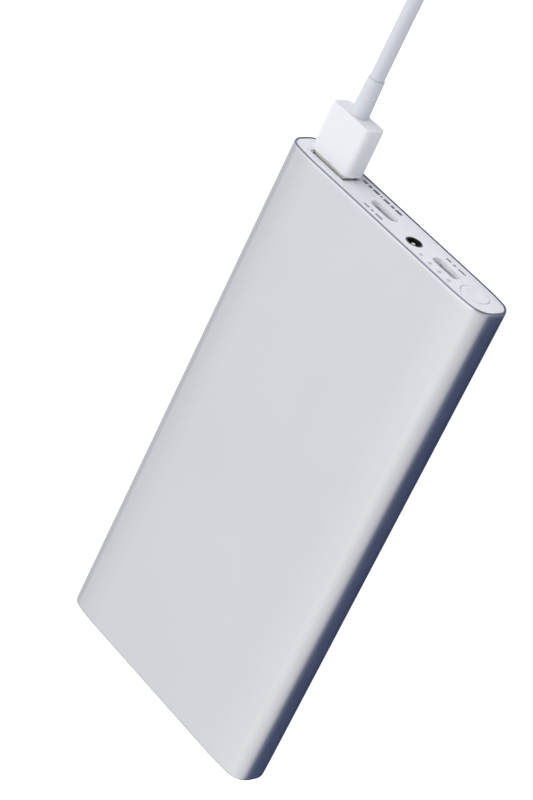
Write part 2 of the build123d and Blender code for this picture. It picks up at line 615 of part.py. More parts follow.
with BuildPart() as ceramic_capacitors:
    with BuildSketch(level_plane(BOARD_TOP)):
        for row_x, row_depth in CERAMIC_ROWS:
            with Locations(*[(row_x + CERAMIC_PITCH * i, row_depth) for i in range(4)]):
                Rectangle(*CERAMIC_SIZE)
    extrude(amount=CERAMIC_HEIGHT)

with BuildPart() as board_insulator:
    with BuildSketch(level_plane(WALL - THICKNESS / 2)):
        with Locations((0, INSULATOR_FRONT)):
            Rectangle(*INSULATOR_SIZE, align=(Align.CENTER, Align.MIN))
    extrude(amount=INSULATOR_THICKNESS)

# ---- battery: two pouch cells, one on the other ----
CELL_LOWER_BASE = WALL + BASE_TAPE - THICKNESS / 2
CELL_UPPER_BASE = CELL_LOWER_BASE + CELL[2] + MIDDLE_TAPE


def flat_block(base, width, front, length, height):
    """Block on a level plane, centred in X, that starts at a depth."""
    with BuildPart() as block:
        with BuildSketch(level_plane(base)):
            with Locations((0, front)):
                Rectangle(width, length, align=(Align.CENTER, Align.MIN))
        extrude(amount=height)
    return block


def cell(base):
    """Pouch cell with rounded long edges."""
    with BuildPart() as pouch:
        with BuildSketch(level_plane(base)):
            with Locations((0, CELL_FRONT)):
                Rectangle(CELL[0], CELL[1], align=(Align.CENTER, Align.MIN))
        extrude(amount=CELL[2])
        fillet(pouch.edges().filter_by(Axis.Y), CELL_EDGE_RADIUS)
    return pouch


cell_lower = cell(CELL_LOWER_BASE)
cell_upper = cell(CELL_UPPER_BASE)


def cell_pad(base, height):
    """Tape or foam over the cells, a little shorter than they are."""
    return flat_block(
        base,
        CELL_PAD_WIDTH,
        CELL_FRONT + CELL_PAD_MARGIN,
        CELL[1] - 2 * CELL_PAD_MARGIN,
        height,
    )


CELLS_TOP = CELL_UPPER_BASE + CELL[2]
cell_base_tape = cell_pad(WALL - THICKNESS / 2, BASE_TAPE)
cell_middle_tape = cell_pad(CELL_LOWER_BASE + CELL[2], MIDDLE_TAPE)
cell_foam_pad = cell_pad(CELLS_TOP, THICKNESS / 2 - WALL - CELLS_TOP)
END_FOAM_FRONT = CELL_FRONT + CELL[1]
END_FOAM_LENGTH = LENGTH - PLATE_BACK - END_FOAM_FRONT
end_foam_block = flat_block(-END_FOAM[1] / 2, END_FOAM[0], END_FOAM_FRONT, END_FOAM_LENGTH, END_FOAM[1])
protection_board = flat_block(
    -PROTECTION_SIZE[2] / 2,
    PROTECTION_SIZE[0],
    PROTECTION_FRONT,
    PROTECTION_SIZE[1],
    PROTECTION_SIZE[2],
)

with BuildPart() as cell_tabs:
    with BuildSketch(depth_plane(CELL_FRONT)):
        for base in (CELL_LOWER_BASE, CELL_UPPER_BASE):
            with Locations((TAB_X, base + CELL[2] / 2), (-TAB_X, base + CELL[2] / 2)):
                Rectangle(TAB_WIDTH, TAB_THICKNESS)
    extrude(amount=CELL_FRONT - PROTECTION_FRONT - PROTECTION_SIZE[1])


def battery_lead(x):
    """Wire from the protection board's face down to the main board."""
    start = (x, PROTECTION_FRONT - LENGTH / 2, THICKNESS / 2 + LEAD_HEIGHT)
    corner = (x, LEAD_DEPTH - LENGTH / 2, THICKNESS / 2 + LEAD_HEIGHT)
    foot = (x, LEAD_DEPTH - LENGTH / 2, THICKNESS / 2 + BOARD_TOP)
    with BuildPart() as lead:
        with BuildLine() as path:
            FilletPolyline(start, corner, foot, radius=BEND_SHARE * (PROTECTION_FRONT - LEAD_DEPTH))
        with BuildSketch(path.line ^ 0):
            Circle(LEAD_RADIUS)
        sweep()
    return lead


positive_lead = battery_lead(LEAD_X)
negative_lead = battery_lead(-LEAD_X)

# ---- plug ----
PLUG_FACE = CAP_RECESS - PLUG_GAP               # depth of the housing's face towards the bank
PLUG_END = PLUG_FACE - PLUG_LENGTH

with BuildPart() as plug_shell:
    with BuildSketch(depth_plane(PLUG_FACE + PLUG_REACH)):
        with Locations((USB_A_X, 0)):
            RectangleRounded(*PLUG_SHELL, radius=PLUG_SHELL_CORNER)
            RectangleRounded(*PLUG_INSIDE, radius=PLUG_SHELL_CORNER - SHEET, mode=Mode.SUBTRACT)
    extrude(amount=PLUG_REACH + PLUG_SOCKET)
    with BuildSketch(level_plane(-PLUG_SHELL[1])):
        with Locations(*[(USB_A_X + side * WINDOW_X, PLUG_FACE + WINDOW_DEPTH) for side in (1, -1)]):
            Rectangle(*WINDOW_SIZE)
    extrude(amount=2 * PLUG_SHELL[1], mode=Mode.SUBTRACT)

with BuildPart() as plug_insert:
    with BuildSketch(depth_plane(PLUG_FACE + PLUG_REACH - FIT)):
        with Locations((USB_A_X, -INSERT_HEIGHT / 2)):
            Rectangle(PLUG_INSIDE[0] - FIT, INSERT_HEIGHT)
    extrude(amount=PLUG_REACH + PLUG_SOCKET - PLUG_INSERT_SHORTER)
    with BuildSketch(depth_plane(PLUG_FACE + PLUG_REACH - PLUG_CONTACT_SETBACK)):
        with Locations(*[(USB_A_X + x, 0) for x in CONTACT_X]):
            Rectangle(CONTACT_WIDTH, 2 * PLUG_GROOVE)
    extrude(amount=PLUG_CONTACT_LENGTH, mode=Mode.SUBTRACT)

with BuildPart() as plug_contacts:
    with BuildSketch(depth_plane(PLUG_FACE + PLUG_REACH - PLUG_CONTACT_SETBACK)):
        with Locations(*[(USB_A_X + x, PLUG_CONTACT / 2 - PLUG_GROOVE) for x in CONTACT_X]):
            Rectangle(CONTACT_WIDTH, PLUG_CONTACT)
    extrude(amount=PLUG_CONTACT_LENGTH)

with BuildPart() as plug_housing:
    with BuildSketch(depth_plane(PLUG_FACE)):
        with Locations((USB_A_X, 0)):
            RectangleRounded(*PLUG_SIZE, radius=PLUG_CORNER)
    extrude(amount=PLUG_LENGTH)
    fillet(plug_housing.faces().sort_by(Axis.Y)[0].edges(), PLUG_BACK_EDGE)
    fillet(plug_housing.faces().sort_by(Axis.Y)[-1].edges(), PLUG_FRONT_EDGE)
    with BuildSketch(depth_plane(PLUG_FACE)):
        with Locations((USB_A_X, 0)):
            RectangleRounded(*PLUG_SHELL, radius=PLUG_SHELL_CORNER)
    extrude(amount=PLUG_SOCKET, mode=Mode.SUBTRACT)


def relief_taper(length):
    """Taper in degrees that brings a strain relief from its root radius to its end radius."""
    return degrees(atan((RELIEF_RADII[0] - RELIEF_RADII[1]) / length))


with BuildPart() as plug_strain_relief:
    with BuildSketch(depth_plane(PLUG_END)):
        with Locations((USB_A_X, 0)):
            Circle(RELIEF_RADII[0])
    extrude(amount=RELIEF_LENGTH, taper=relief_taper(RELIEF_LENGTH))
    fillet(plug_strain_relief.faces().sort_by(Axis.Y)[0].edges(), RELIEF_EDGE)

# ---- cable: a run to the coil, the coil, and a short tail to the far connector ----
CABLE_START_Y = -LENGTH / 2 + PLUG_END - RELIEF_LENGTH
LOWER_LANE_Z = TIE_THICKNESS + TIE_GAP + CABLE_RADIUS
UPPER_LANE_Z = LOWER_LANE_Z + 2 * CABLE_RADIUS
COIL_JOIN = (COIL_CENTRE[0] + COIL_OUTER_LANE, COIL_CENTRE[1])

RUN_ROUTE = [
    (USB_A_X, CABLE_START_Y, THICKNESS / 2),
    (25.0, -109.0, THICKNESS / 2),
    (25.9, -121.5, 5.5),
    (26.8, -134.5, 3.2),
    (27.5, -149.0, 1.95),
    (27.7, -163.5, 2.05),
    (COIL_JOIN[0], COIL_JOIN[1], LOWER_LANE_Z),
]
TAIL_ROUTE = [
    (COIL_JOIN[0], COIL_JOIN[1], UPPER_LANE_Z),
    (27.2, -189.5, 6.3),
    (23.6, -200.8, 5.4),
    (15.8, -209.4, 4.1),
    (5.6, -213.8, FAR_SIZE[1] / 2),
    (-4.6, -214.6, FAR_SIZE[1] / 2),
]


def cable_tube(route, name):
    """Tube along a route: straight runs joined by arcs as large as the runs allow."""
    points = [Vector(*point) for point in route]
    runs = [b - a for a, b in zip(points, points[1:])]
    turns = [a.get_angle(b) for a, b in zip(runs, runs[1:])]
    shorter = [min(a.length, b.length) for a, b in zip(runs, runs[1:])]
    radii = [BEND_SHARE * run / tan(radians(turn) / 2) for run, turn in zip(shorter, turns)]
    with BuildPart() as tube:
        with BuildLine() as path:
            FilletPolyline(*points, radius=radii)
        with BuildSketch(path.line ^ 0):
            Circle(CABLE_RADIUS)
        sweep()
    length = sum(edge.length for edge in path.edges())
    volume_length = tube.part.volume / (pi * CABLE_RADIUS**2)
    print(name, "radii", [round(r, 1) for r in radii], "smallest", round(min(radii), 1))
    print(name, "length", round(length, 1), "volume over section", round(volume_length, 1))
    return tube


cable_run = cable_tube(RUN_ROUTE, "cable_run")
cable_tail = cable_tube(TAIL_ROUTE, "cable_tail")

COIL_RADII = (COIL_OUTER_LANE + CABLE_RADIUS, COIL_OUTER_LANE - COIL_TURNS * COIL_PITCH - CABLE_RADIUS)
COIL_HEIGHT = 4 * CABLE_RADIUS
with BuildPart() as cable_coil:
    with BuildSketch(Plane.XY.offset(LOWER_LANE_Z - CABLE_RADIUS)):
        with Locations(COIL_CENTRE):
            Circle(COIL_RADII[0])
            Circle(COIL_RADII[1], mode=Mode.SUBTRACT)
    extrude(amount=COIL_HEIGHT)
    fillet(cable_coil.edges().filter_by(GeomType.CIRCLE), COIL_EDGE)

TIE_PLANE = Plane(
    origin=(*COIL_CENTRE, LOWER_LANE_Z - CABLE_RADIUS + COIL_HEIGHT / 2),
    x_dir=(cos(radians(TIE_ANGLE)), sin(radians(TIE_ANGLE)), 0),
    z_dir=(sin(radians(TIE_ANGLE)), -cos(radians(TIE_ANGLE)), 0),
)
COIL_MIDDLE_RADIUS = sum(COIL_RADII) / 2
COIL_DEPTH = COIL_RADII[0] - COIL_RADII[1]
with BuildPart() as cable_tie:
    with BuildSketch(TIE_PLANE):
        with Locations((COIL_MIDDLE_RADIUS, 0)):
            for spread, mode in ((TIE_GAP + TIE_THICKNESS, Mode.ADD), (TIE_GAP, Mode.SUBTRACT)):
                width = COIL_DEPTH + 2 * spread
                height = COIL_HEIGHT + 2 * spread
                RectangleRounded(width, height, radius=COIL_EDGE + spread, mode=mode)
    revolve(axis=Axis(origin=(*COIL_CENTRE, 0), direction=(0, 0, 1)), revolution_arc=TIE_ARC)

# ---- far connector, in line with the end of the tail ----
FAR_START = Vector(*TAIL_ROUTE[-1])
FAR_HEADING = (FAR_START - Vector(*TAIL_ROUTE[-2])).normalized()
FAR_DIRECTION = Vector(FAR_HEADING.X, FAR_HEADING.Y, 0).normalized()
FAR_PLANE = Plane(
    origin=FAR_START,
    x_dir=Vector(-FAR_DIRECTION.Y, FAR_DIRECTION.X, 0),
    z_dir=FAR_DIRECTION,
)

with BuildPart() as far_strain_relief:
    with BuildSketch(FAR_PLANE.offset(FAR_RELIEF)):
        Circle(RELIEF_RADII[0])
    extrude(amount=-FAR_RELIEF, taper=relief_taper(FAR_RELIEF))

with BuildPart() as far_connector_housing:
    with BuildSketch(FAR_PLANE.offset(FAR_RELIEF)):
        RectangleRounded(*FAR_SIZE, radius=FAR_CORNER)
    extrude(amount=FAR_LENGTH)
    fillet(far_connector_housing.edges().group_by(Axis(FAR_START, FAR_DIRECTION))[0], PLUG_BACK_EDGE)

with BuildPart() as far_connector_tip:
    with BuildSketch(FAR_PLANE.offset(FAR_RELIEF + FAR_LENGTH)):
        SlotOverall(*FAR_TIP)
        SlotOverall(*FAR_INSIDE, mode=Mode.SUBTRACT)
    extrude(amount=FAR_TIP_LENGTH)

with BuildPart() as far_connector_insert:
    with BuildSketch(FAR_PLANE.offset(FAR_RELIEF + FAR_LENGTH)):
        SlotOverall(FAR_INSIDE[0] - FIT, FAR_INSIDE[1] - FIT)
    extrude(amount=FAR_TIP_LENGTH - SHEET)
    with BuildSketch(FAR_PLANE.offset(FAR_RELIEF + FAR_LENGTH + FAR_FLOOR)):
        Rectangle(*FAR_SLOT)
    extrude(amount=FAR_TIP_LENGTH, mode=Mode.SUBTRACT)

PIECES = {
    "aluminium_sleeve": aluminium_sleeve,
    "top_end_cap": top_end_cap,
    "top_cap_adhesive": top_cap_adhesive,
    "top_bracket": top_bracket,
    "top_screws": top_screws,
    "bottom_end_cap": bottom_end_cap,
    "bottom_cap_adhesive": bottom_cap_adhesive,
    "bottom_bracket": bottom_bracket,
    "bottom_screws": bottom_screws,
    "power_button": power_button,
    "tact_switch_body": tact_switch_body,
    "tact_switch_plunger": tact_switch_plunger,
    "led_chips": led_chips,
    "led_light_guide": led_light_guide,
    "usb_a_socket_shell": usb_a_socket_shell,
    "usb_a_socket_tongue": usb_a_socket_tongue,
    "usb_a_socket_contacts": usb_a_socket_contacts,
    "usb_c_inner_socket_shell": usb_c_shell(USB_C_X[0]),
    "usb_c_inner_socket_tongue": usb_c_tongue(USB_C_X[0]),
    "usb_c_outer_socket_shell": usb_c_shell(USB_C_X[1]),
    "usb_c_outer_socket_tongue": usb_c_tongue(USB_C_X[1]),
    "dc_jack_body": dc_jack_body,
    "dc_jack_pin": dc_jack_pin,
    "main_board": main_board,
    "board_screws": board_screws,
    "power_inductor": power_inductor,
    "bulk_capacitors": bulk_capacitors,
    "controller_chips": controller_chips,
    "ceramic_capacitors": ceramic_capacitors,
    "board_insulator": board_insulator,
    "protection_board": protection_board,
    "cell_tabs": cell_tabs,
    "positive_lead": positive_lead,
    "negative_lead": negative_lead,
    "cell_lower": cell_lower,
    "cell_upper": cell_upper,
    "cell_base_tape": cell_base_tape,
    "cell_middle_tape": cell_middle_tape,
    "cell_foam_pad": cell_foam_pad,
    "end_foam_block": end_foam_block,
    "plug_housing": plug_housing,
    "plug_shell": plug_shell,
    "plug_insert": plug_insert,
    "plug_contacts": plug_contacts,
    "plug_strain_relief": plug_strain_relief,
    "cable_run": cable_run,
    "cable_coil": cable_coil,
    "cable_tail": cable_tail,
    "cable_tie": cable_tie,
    "far_strain_relief": far_strain_relief,
    "far_connector_housing": far_connector_housing,
    "far_connector_tip": far_connector_tip,
    "far_connector_insert": far_connector_insert,
}

os.makedirs("parts", exist_ok=True)
for name, piece in PIECES.items():
    piece.part.label = name
    export_step(piece.part, f"parts/{name}.step")
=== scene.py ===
import math

import bmesh
import bpy
from mathutils import Matrix, Vector


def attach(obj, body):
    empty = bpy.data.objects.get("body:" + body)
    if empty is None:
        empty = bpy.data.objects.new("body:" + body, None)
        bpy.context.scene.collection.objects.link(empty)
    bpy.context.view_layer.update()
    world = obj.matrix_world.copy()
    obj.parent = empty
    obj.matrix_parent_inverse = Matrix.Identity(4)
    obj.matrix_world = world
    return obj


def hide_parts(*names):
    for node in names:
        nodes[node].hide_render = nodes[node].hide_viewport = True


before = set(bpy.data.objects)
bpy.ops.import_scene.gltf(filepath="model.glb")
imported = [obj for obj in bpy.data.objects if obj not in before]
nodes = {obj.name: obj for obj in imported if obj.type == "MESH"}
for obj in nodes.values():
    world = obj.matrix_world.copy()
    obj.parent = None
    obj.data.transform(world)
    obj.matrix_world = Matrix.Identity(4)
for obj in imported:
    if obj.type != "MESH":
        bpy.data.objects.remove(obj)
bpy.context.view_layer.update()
scene = bpy.context.scene
MM = 0.001
END_Y = -73.0                # of the sleeve's rim at the ports end, in millimetres like all sizes below
CAP_RECESS = 0.2
MIDDLE_Z = 6.7
# the sleeve's rims get painted shade, a darker colour, between these two distances
RIM_FROM, RIM_TO = 72.62, 72.78    # distance from the middle over which the sleeve turns darker


# ---------------------------------------------------------------- camera
CAMERA_PLACE = (-0.41232, -0.37187, 0.56935)
CAMERA_RIGHT = (-0.594727, -0.393416, -0.701088)
CAMERA_UP = (0.599196, -0.798328, -0.060311)
CAMERA_LENS = 142.33
CAMERA_CLIP = (0.02, 50.0)


def make_camera():
    right = Vector(CAMERA_RIGHT)
    up = Vector(CAMERA_UP)
    back = right.cross(up)
    camera = bpy.data.objects.new("camera", bpy.data.cameras.new("camera"))
    camera.data.lens = CAMERA_LENS
    camera.data.clip_start, camera.data.clip_end = CAMERA_CLIP
    turn = Matrix((right, up, back)).transposed().to_4x4()
    camera.matrix_world = Matrix.Translation(CAMERA_PLACE) @ turn
    scene.collection.objects.link(camera)
    scene.camera = camera


make_camera()


# ---------------------------------------------------------------- node helpers
class Nodes:
    """A material's node tree with short calls for the nodes used here."""

    def __init__(self, name):
        self.material = bpy.data.materials.new(name)
        self.material.use_nodes = True
        self.tree = self.material.node_tree
        self.shader = self.tree.nodes["Principled BSDF"]
        self.coordinates = self.add("ShaderNodeTexCoord").outputs["Object"]

    def add(self, kind, **settings):
        node = self.tree.nodes.new(kind)
        for key, value in settings.items():
            setattr(node, key, value)
        return node

    def link(self, source, target):
        self.tree.links.new(source, target)

    def stretched(self, scale):
        """Object coordinates with a scale of their own on each axis."""
        mapping = self.add("ShaderNodeMapping")
        mapping.inputs["Scale"].default_value = scale
        self.link(self.coordinates, mapping.inputs["Vector"])
        return mapping.outputs["Vector"]

    def noise(self, size_mm, detail=3.0, vector=None):
        """Noise whose features are about size_mm across."""
        node = self.add("ShaderNodeTexNoise")
        node.inputs["Scale"].default_value = 1000.0 / size_mm
        node.inputs["Detail"].default_value = detail
        self.link(vector or self.coordinates, node.inputs["Vector"])
        return node.outputs["Fac"]

    def ramp(self, source, stops):
        node = self.add("ShaderNodeValToRGB")
        while len(node.color_ramp.elements) < len(stops):
            node.color_ramp.elements.new(0.5)
        for element, (place, colour) in zip(node.color_ramp.elements, stops):
            element.position = place
            element.color = (*colour, 1.0)
        self.link(source, node.inputs["Fac"])
        return node.outputs["Color"]

    def ranged(self, source, low, high, start=0.3, end=0.7):
        node = self.add("ShaderNodeMapRange")
        for name, value in (("From Min", start), ("From Max", end), ("To Min", low), ("To Max", high)):
            node.inputs[name].default_value = value
        self.link(source, node.inputs["Value"])
        return node.outputs["Result"]

    def bump(self, source, height_mm, strength=1.0, under=None):
        node = self.add("ShaderNodeBump")
        node.inputs["Strength"].default_value = strength
        node.inputs["Distance"].default_value = height_mm * MM
        self.link(source, node.inputs["Height"])
        if under is not None:
            self.link(under, node.inputs["Normal"])
        self.link(node.outputs["Normal"], self.shader.inputs["Normal"])
        return node.outputs["Normal"]


def shade(colour, amount):
    return tuple(min(1.0, channel * amount) for channel in colour)


def surface(name, colour, vary=0.04, patch=6.0, rough=(0.4, 0.5), grain=0.25, depth=0.004, metallic=0.0,
            coat=0.0, sheen=0.0, scatter=0.0, stretch=None):
    """Material with uneven colour in patches, uneven roughness and a fine grain in its surface."""
    n = Nodes(name)
    place = n.stretched(stretch) if stretch else None
    patches = n.noise(patch, 4.0, place)
    n.link(n.ramp(patches, [(0.3, shade(colour, 1 - vary)), (0.7, shade(colour, 1 + vary))]),
           n.shader.inputs["Base Color"])
    n.link(n.ranged(n.noise(patch / 3, 2.0, place), *rough), n.shader.inputs["Roughness"])
    n.bump(n.noise(grain, 2.0, place), depth)
    n.shader.inputs["Metallic"].default_value = metallic
    n.shader.inputs["Coat Weight"].default_value = coat
    n.shader.inputs["Coat Roughness"].default_value = 0.25
    n.shader.inputs["Sheen Weight"].default_value = sheen
    if scatter:
        n.shader.inputs["Subsurface Weight"].default_value = scatter
        n.shader.inputs["Subsurface Radius"].default_value = (0.9, 0.95, 1.0)
        n.shader.inputs["Subsurface Scale"].default_value = 0.0008
    return n


# ---------------------------------------------------------------- materials
M = {}
M["cap"] = surface("moulded_white", (0.88, 0.885, 0.91), vary=0.01, patch=9.0, rough=(0.40, 0.47),
                   grain=0.16,
                   depth=0.0012, scatter=0.15).material
M["button"] = surface("button_white", (0.86, 0.87, 0.90), vary=0.01, patch=4.0, rough=(0.34, 0.40),
                      grain=0.2,
                      depth=0.0008, scatter=0.15).material
M["plug"] = surface("plug_white", (0.84, 0.845, 0.87), vary=0.008, patch=8.0, rough=(0.32, 0.38), grain=0.3,
                    depth=0.001, coat=0.15, scatter=0.2).material
M["jacket"] = surface("cable_jacket", (0.665, 0.68, 0.72), vary=0.015, patch=5.0, rough=(0.42, 0.5),
                      grain=0.35,
                      depth=0.002, scatter=0.2).material
M["relief"] = surface("strain_relief", (0.69, 0.705, 0.745), vary=0.015, patch=5.0, rough=(0.40, 0.48),
                      grain=0.3,
                      depth=0.0015, scatter=0.2).material
M["bracket"] = surface("glass_filled_black", (0.030, 0.030, 0.033), vary=0.2, patch=1.2, rough=(0.55, 0.7),
                       grain=0.3, depth=0.006).material
M["tape"] = surface("black_tape", (0.02, 0.02, 0.022), vary=0.2, patch=2.0, rough=(0.5, 0.65), grain=0.2,
                    depth=0.004).material
M["screw"] = surface("screw_steel", (0.52, 0.52, 0.54), vary=0.1, patch=0.8, rough=(0.25, 0.4), grain=0.1,
                     depth=0.002, metallic=1.0).material
M["steel"] = surface("nickel_plate", (0.80, 0.785, 0.75), vary=0.04, patch=2.5, rough=(0.16, 0.26),
                     grain=0.5,
                     depth=0.0015, metallic=1.0, stretch=(1.0, 0.15, 1.0)).material
M["brushed"] = surface("brushed_plate", (0.86, 0.85, 0.81), vary=0.03, patch=2.5, rough=(0.38, 0.46),
                       grain=0.5,
                       depth=0.0015, metallic=1.0, stretch=(1.0, 0.15, 1.0)).material
M["satin"] = surface("satin_plate", (0.86, 0.86, 0.87), vary=0.03, patch=1.5, rough=(0.46, 0.54), grain=0.4,
                     depth=0.0015, metallic=1.0, stretch=(1.0, 0.15, 1.0)).material
M["black"] = surface("black_nylon", (0.018, 0.018, 0.020), vary=0.15, patch=1.5, rough=(0.32, 0.45),
                     grain=0.2,
                     depth=0.003).material
M["insulator"] = surface("white_nylon", (0.80, 0.81, 0.83), vary=0.03, patch=1.5, rough=(0.35, 0.45),
                         grain=0.2,
                         depth=0.003).material
M["gold"] = surface("gold_plate", (0.90, 0.62, 0.24), vary=0.05, patch=1.0, rough=(0.15, 0.25), grain=0.2,
                    depth=0.001, metallic=1.0, stretch=(1.0, 0.2, 1.0)).material
M["ferrite"] = surface("ferrite", (0.035, 0.036, 0.040), vary=0.3, patch=0.5, rough=(0.55, 0.7), grain=0.15,
                       depth=0.008).material
M["can"] = surface("capacitor_sleeve", (0.62, 0.63, 0.65), vary=0.04, patch=2.0, rough=(0.22, 0.34),
                   grain=0.4,
                   depth=0.002, metallic=1.0, stretch=(1.0, 1.0, 0.2)).material
M["chip"] = surface("chip_epoxy", (0.022, 0.022, 0.025), vary=0.25, patch=0.4, rough=(0.5, 0.62), grain=0.1,
                    depth=0.005).material
M["ceramic"] = surface("ceramic", (0.35, 0.24, 0.14), vary=0.12, patch=0.8, rough=(0.35, 0.5), grain=0.15,
                       depth=0.003).material
M["film"] = surface("insulating_film", (0.55, 0.42, 0.10), vary=0.06, patch=5.0, rough=(0.2, 0.3),
                    grain=1.5,
                    depth=0.004, coat=0.3).material
M["nickel"] = surface("nickel_tab", (0.66, 0.64, 0.58), vary=0.06, patch=1.2, rough=(0.28, 0.4), grain=0.3,
                      depth=0.003, metallic=1.0, stretch=(0.3, 1.0, 1.0)).material
M["red"] = surface("red_insulation", (0.45, 0.012, 0.012), vary=0.08, patch=2.0, rough=(0.35, 0.45),
                   grain=0.3,
                   depth=0.003).material
M["wire_black"] = surface("black_insulation", (0.015, 0.015, 0.016), vary=0.1, patch=2.0,
                          rough=(0.35, 0.45),
                          grain=0.3, depth=0.003).material
M["foam"] = surface("closed_cell_foam", (0.028, 0.028, 0.030), vary=0.35, patch=0.7, rough=(0.8, 0.95),
                    grain=0.45,
                    depth=0.08, sheen=0.15).material
M["lamp"] = surface("led_phosphor", (0.85, 0.78, 0.35), vary=0.05, patch=0.5, rough=(0.25, 0.35), grain=0.2,
                    depth=0.002, coat=0.4).material


def sleeve_material():
    """Bead-blasted, anodised aluminium, with painted shade, a darker colour, on the narrow rims at its ends.
    """
    n = Nodes("anodised_aluminium")
    blasted = n.ramp(n.noise(30.0, 4.0), [(0.3, (0.712, 0.717, 0.733)), (0.7, (0.728, 0.733, 0.750))])
    place = n.add("ShaderNodeSeparateXYZ")
    n.link(n.coordinates, place.inputs["Vector"])
    from_middle = n.add("ShaderNodeMath", operation="ABSOLUTE")
    n.link(place.outputs["Y"], from_middle.inputs[0])
    # mask of the rims that get painted shade
    rim = n.ranged(from_middle.outputs["Value"], 0.0, 1.0, RIM_FROM * MM, RIM_TO * MM)
    mix = n.add("ShaderNodeMix", data_type="RGBA")
    n.link(rim, mix.inputs["Factor"])
    n.link(blasted, mix.inputs["A"])
    # dark blue-grey of the painted shade on the rims
    mix.inputs["B"].default_value = (0.24, 0.25, 0.31, 1)
    n.link(mix.outputs["Result"], n.shader.inputs["Base Color"])
    n.link(n.ranged(n.noise(10.0, 2.0), 0.37, 0.41), n.shader.inputs["Roughness"])
    n.bump(n.noise(0.12, 2.0), 0.0012)
    n.shader.inputs["Metallic"].default_value = 1.0
    return n.material


def board_material():
    """Solder mask with buried copper tracks that show as slightly raised, lighter lines."""
    n = Nodes("solder_mask")
    voronoi = n.add("ShaderNodeTexVoronoi", distance="MANHATTAN", feature="F1")
    voronoi.inputs["Scale"].default_value = 420.0
    n.link(n.coordinates, voronoi.inputs["Vector"])
    tracks = n.ramp(voronoi.outputs["Distance"], [(0.40, (0, 0, 0)), (0.46, (1, 1, 1))])
    mix = n.add("ShaderNodeMix", data_type="RGBA")
    n.link(tracks, mix.inputs["Factor"])
    mix.inputs["A"].default_value = (0.010, 0.075, 0.038, 1)
    mix.inputs["B"].default_value = (0.022, 0.13, 0.062, 1)
    n.link(mix.outputs["Result"], n.shader.inputs["Base Color"])
    n.link(n.ranged(n.noise(1.5), 0.25, 0.36), n.shader.inputs["Roughness"])
    n.bump(tracks, 0.02)
    n.shader.inputs["Coat Weight"].default_value = 0.4
    n.shader.inputs["Coat Roughness"].default_value = 0.15
    return n.material


def cell_material():
    """Laminated foil pouch: soft grey metal with shallow wrinkles and a scuffed film."""
    n = Nodes("pouch_foil")
    wrinkles = n.noise(9.0, 5.0, n.stretched((1.0, 0.35, 1.0)))
    n.link(n.ramp(wrinkles, [(0.3, (0.44, 0.45, 0.47)), (0.7, (0.55, 0.56, 0.58))]),
           n.shader.inputs["Base Color"])
    n.link(n.ranged(n.noise(2.0), 0.32, 0.48), n.shader.inputs["Roughness"])
    n.bump(wrinkles, 0.12)
    n.shader.inputs["Metallic"].default_value = 0.9
    return n.material


def guide_material():
    """Frosted clear plastic of the light guide."""
    n = Nodes("frosted_clear")
    n.link(n.ramp(n.noise(0.6), [(0.3, (0.72, 0.74, 0.78)), (0.7, (0.80, 0.82, 0.85))]),
           n.shader.inputs["Base Color"])
    n.link(n.ranged(n.noise(0.3), 0.28, 0.42), n.shader.inputs["Roughness"])
    n.bump(n.noise(0.12), 0.002)
    n.shader.inputs["Transmission Weight"].default_value = 0.35
    n.shader.inputs["IOR"].default_value = 1.5
    return n.material


def strap_material():
    """Woven hook-and-loop strap: a fine weave along and across, with fuzz."""
    n = Nodes("woven_strap")
    waves = []
    for direction in ("X", "Y"):
        wave = n.add("ShaderNodeTexWave", bands_direction=direction)
        wave.inputs["Scale"].default_value = 480.0
        wave.inputs["Distortion"].default_value = 1.2
        wave.inputs["Detail"].default_value = 2.0
        n.link(n.coordinates, wave.inputs["Vector"])
        waves.append(wave.outputs["Fac"])
    cross = n.add("ShaderNodeMath", operation="MULTIPLY")
    n.link(waves[0], cross.inputs[0])
    n.link(waves[1], cross.inputs[1])
    n.link(n.ramp(cross.outputs["Value"], [(0.0, (0.46, 0.47, 0.49)), (0.8, (0.68, 0.69, 0.71))]),
           n.shader.inputs["Base Color"])
    n.link(n.ranged(n.noise(0.5), 0.75, 0.9), n.shader.inputs["Roughness"])
    n.bump(cross.outputs["Value"], 0.12)
    n.shader.inputs["Sheen Weight"].default_value = 0.4
    return n.material


M["sleeve"] = sleeve_material()
M["board"] = board_material()
M["cell"] = cell_material()
M["guide"] = guide_material()
M["strap"] = strap_material()

NODE_MATERIALS = {
    "sleeve": ["aluminium_sleeve"],
    "cap": ["top_end_cap", "bottom_end_cap"],
    "button": ["power_button"],
    "plug": ["plug_housing", "far_connector_housing"],
    "jacket": ["cable_run", "cable_coil", "cable_tail"],
    "relief": ["plug_strain_relief", "far_strain_relief"],
    "bracket": ["top_bracket", "bottom_bracket"],
    "tape": ["top_cap_adhesive", "bottom_cap_adhesive", "cell_base_tape", "cell_middle_tape"],
    "screw": ["top_screws", "bottom_screws", "board_screws"],
    "steel": ["dc_jack_pin", "far_connector_tip"],
    "brushed": ["usb_a_socket_shell", "plug_shell"],
    "satin": ["usb_c_inner_socket_shell", "usb_c_outer_socket_shell"],
    "black": ["tact_switch_body", "dc_jack_body", "far_connector_insert"],
    "insulator": ["tact_switch_plunger", "usb_a_socket_tongue", "usb_c_inner_socket_tongue",
                  "usb_c_outer_socket_tongue", "plug_insert"],
    "gold": ["usb_a_socket_contacts", "plug_contacts"],
    "board": ["main_board", "protection_board"],
    "ferrite": ["power_inductor"],
    "can": ["bulk_capacitors"],
    "chip": ["controller_chips"],
    "ceramic": ["ceramic_capacitors"],
    "film": ["board_insulator"],
    "nickel": ["cell_tabs"],
    "red": ["positive_lead"],
    "wire_black": ["negative_lead"],
    "cell": ["cell_lower", "cell_upper"],
    "foam": ["cell_foam_pad", "end_foam_block"],
    "lamp": ["led_chips"],
    "guide": ["led_light_guide"],
    "strap": ["cable_tie"],
}
for key, names in NODE_MATERIALS.items():
    for name in names:
        for slot in nodes[name].material_slots:
            slot.material = M[key]


